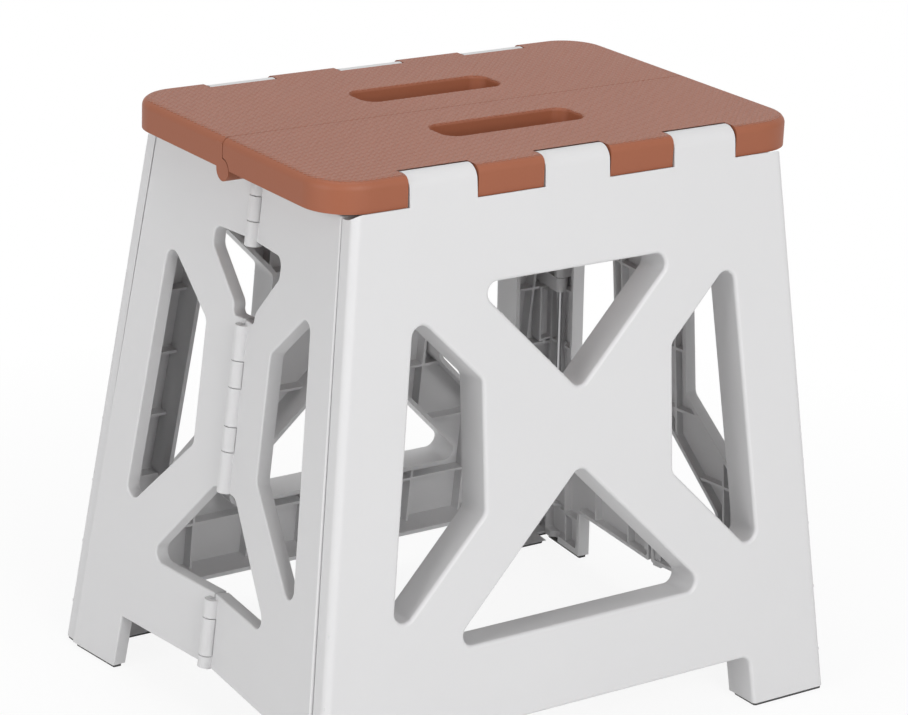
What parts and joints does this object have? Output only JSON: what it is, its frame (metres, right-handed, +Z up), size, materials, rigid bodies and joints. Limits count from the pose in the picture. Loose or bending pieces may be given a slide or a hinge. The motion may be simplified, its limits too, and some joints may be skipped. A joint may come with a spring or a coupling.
{
  "type": "folding step stool",
  "caption": "Folding step stool: two splayed leg panels, a hinged two-part seat with hand slots and hinged side panels that fold flat.",
  "frame": {"origin": "on the floor, under the middle of the seat", "axes": "+Z up, front leg panel towards -Y, width along X"},
  "size_m": [0.3442, 0.2744, 0.33],
  "materials": {
    "seat_plastic": "woven fine texture on top, satin skirt",
    "frame_plastic": "satin light grey",
    "steel": "plain",
    "rubber": "matt"
  },
  "bodies": {
    "leg_front": {"leg_front": "frame_plastic", "seat_front_pin": "steel", "corner_pin_left_front": "steel", "corner_pin_right_front": "steel", "foot_pad_front_left": "rubber", "foot_pad_front_right": "rubber"},
    "leg_back": {"leg_back": "frame_plastic", "seat_back_pin": "steel", "corner_pin_left_back": "steel", "corner_pin_right_back": "steel", "foot_pad_back_left": "rubber", "foot_pad_back_right": "rubber"},
    "seat_front": {"seat_front": "seat_plastic", "seat_centre_pin": "steel"},
    "seat_back": {"seat_back": "seat_plastic"},
    "side_left_front": {"side_left_front": "frame_plastic", "side_pad_left_front": "rubber", "side_pin_left_upper": "steel", "side_pin_left_middle": "steel", "side_pin_left_lower": "steel"},
    "side_left_back": {"side_left_back": "frame_plastic", "side_pad_left_back": "rubber"},
    "side_right_back": {"side_right_back": "frame_plastic", "side_pad_right_back": "rubber", "side_pin_right_upper": "steel", "side_pin_right_middle": "steel", "side_pin_right_lower": "steel"},
    "side_right_front": {"side_right_front": "frame_plastic", "side_pad_right_front": "rubber"}
  },
  "joints": [
    {"name": "seat_front_fold", "type": "hinge", "parent": "leg_front", "child": "seat_front", "pos_m": [0, -0.095, 0.322], "axis": [1, 0, 0], "range_deg": [0, 76.49]},
    {"name": "seat_centre_fold", "type": "hinge", "parent": "seat_front", "child": "seat_back", "pos_m": [0, 0, 0.3127], "axis": [1, 0, 0], "range_deg": [-163.98, 0]},
    {"name": "seat_back_fold", "type": "hinge", "parent": "seat_back", "child": "leg_back", "pos_m": [0, 0.095, 0.322], "axis": [1, 0, 0], "range_deg": [0, 76.49]},
    {"name": "side_left_corner_fold", "type": "hinge", "parent": "leg_front", "child": "side_left_front", "pos_m": [-0.1295, -0.08158, 0.31111], "axis": [-0.1048, -0.1057, -0.9889], "range_deg": [0, 84.33]},
    {"name": "side_left_middle_fold", "type": "hinge", "parent": "side_left_front", "child": "side_left_back", "pos_m": [-0.14394, 0, 0.165], "axis": [-0.1043, 0, -0.9945], "range_deg": [-167.46, 0]},
    {"name": "side_right_corner_fold", "type": "hinge", "parent": "leg_back", "child": "side_right_back", "pos_m": [0.1295, 0.08158, 0.31111], "axis": [0.1048, 0.1057, -0.9889], "range_deg": [0, 84.33]},
    {"name": "side_right_middle_fold", "type": "hinge", "parent": "side_right_back", "child": "side_right_front", "pos_m": [0.14394, 0, 0.165], "axis": [0.1043, 0, -0.9945], "range_deg": [-167.46, 0]}
  ],
  "couplings": [
    {"joint": "seat_centre_fold", "follows": "seat_front_fold", "ratio": -2.1438},
    {"joint": "seat_back_fold", "follows": "seat_front_fold", "ratio": 1},
    {"joint": "side_left_corner_fold", "follows": "seat_front_fold", "ratio": 1.1025},
    {"joint": "side_left_middle_fold", "follows": "seat_front_fold", "ratio": -2.1892},
    {"joint": "side_right_corner_fold", "follows": "seat_front_fold", "ratio": 1.1025},
    {"joint": "side_right_middle_fold", "follows": "seat_front_fold", "ratio": -2.1892}
  ]
}
